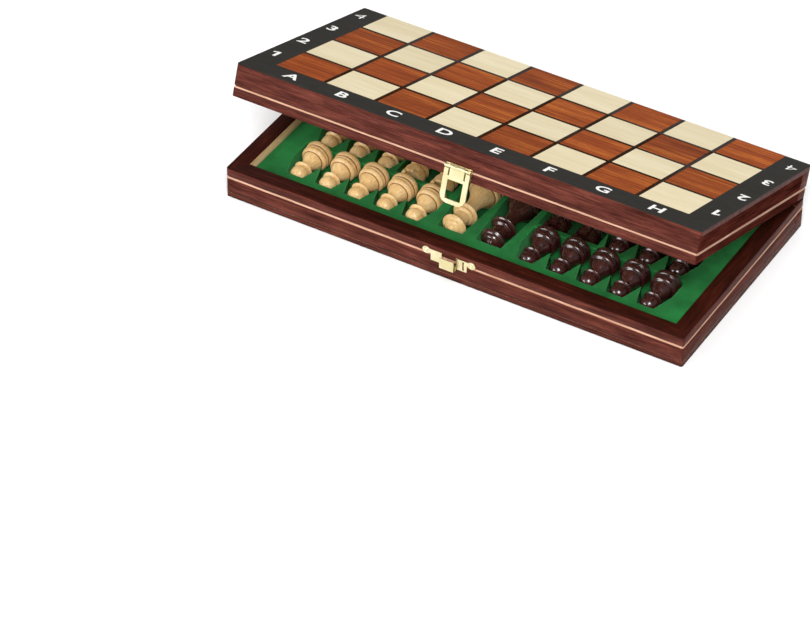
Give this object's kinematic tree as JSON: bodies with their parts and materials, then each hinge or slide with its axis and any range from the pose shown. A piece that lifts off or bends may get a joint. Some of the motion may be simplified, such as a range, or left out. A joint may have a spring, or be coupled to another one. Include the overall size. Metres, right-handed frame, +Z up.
{
  "type": "folding chess box",
  "caption": "Folding wooden chess box, its hinged lid ajar, with a chequered outside, a brass loop latch and turned men lying in a flocked insert.",
  "frame": {"origin": "centre of the tray's flat outer face, on which the box stands", "axes": "+X from file A to file H, +Y from the opening edge to the hinged edge, +Z up"},
  "size_m": [0.267, 0.1421, 0.0773],
  "materials": {
    "stained_wood": "satin reddish-brown stain",
    "line_brown_wood": "satin dark brown stain",
    "black_wood": "satin black",
    "cream_veneer": "satin pale",
    "red_brown_veneer": "satin red-brown",
    "green_flock": "matt flocked",
    "pale_wood": "satin natural",
    "dark_wood": "gloss dark brown",
    "brass": "bright stamped"
  },
  "bodies": {
    "tray": {"tray_front_rail": "stained_wood", "tray_back_rail": "stained_wood", "tray_left_rail": "stained_wood", "tray_right_rail": "stained_wood", "tray_board": "line_brown_wood", "tray_border": "black_wood", "tray_light_squares": "cream_veneer", "tray_dark_squares": "red_brown_veneer", "flocked_insert": "green_flock", "tray_hinge_leaves": "brass", "hinge_pins": "brass", "tray_hinge_screws": "brass", "catch_plate": "brass", "catch_nails": "brass", "pale_pawn_1": "pale_wood", "pale_pawn_2": "pale_wood", "pale_pawn_3": "pale_wood", "pale_pawn_4": "pale_wood", "pale_pawn_5": "pale_wood", "pale_pawn_6": "pale_wood", "pale_pawn_7": "pale_wood", "pale_pawn_8": "pale_wood", "pale_rook_1": "pale_wood", "pale_rook_2": "pale_wood", "pale_knight_1": "pale_wood", "pale_knight_2": "pale_wood", "pale_bishop_1": "pale_wood", "pale_bishop_2": "pale_wood", "pale_queen": "pale_wood", "pale_king": "pale_wood", "dark_pawn_1": "dark_wood", "dark_pawn_2": "dark_wood", "dark_pawn_3": "dark_wood", "dark_pawn_4": "dark_wood", "dark_pawn_5": "dark_wood", "dark_pawn_6": "dark_wood", "dark_pawn_7": "dark_wood", "dark_pawn_8": "dark_wood", "dark_rook_1": "dark_wood", "dark_rook_2": "dark_wood", "dark_knight_1": "dark_wood", "dark_knight_2": "dark_wood", "dark_bishop_1": "dark_wood", "dark_bishop_2": "dark_wood", "dark_queen": "dark_wood", "dark_king": "dark_wood"},
    "lid": {"lid_front_rail": "stained_wood", "lid_back_rail": "stained_wood", "lid_left_rail": "stained_wood", "lid_right_rail": "stained_wood", "lid_board": "line_brown_wood", "lid_border": "black_wood", "lid_light_squares": "cream_veneer", "lid_dark_squares": "red_brown_veneer", "lid_hinge_leaves": "brass", "lid_hinge_screws": "brass", "latch_plate": "brass", "latch_pin": "brass"},
    "latch_loop": {"latch_loop": "brass"}
  },
  "joints": [
    {"name": "lid_hinge", "type": "hinge", "parent": "tray", "child": "lid", "pos_m": [0, 0.0667, 0.01805], "axis": [-1, 0, 0], "range_deg": [-18.4, 161.6]},
    {"name": "latch_hinge", "type": "hinge", "parent": "lid", "child": "latch_loop", "pos_m": [0, -0.05947, 0.06598], "axis": [-1, 0, 0], "range_deg": [0, 150]}
  ]
}
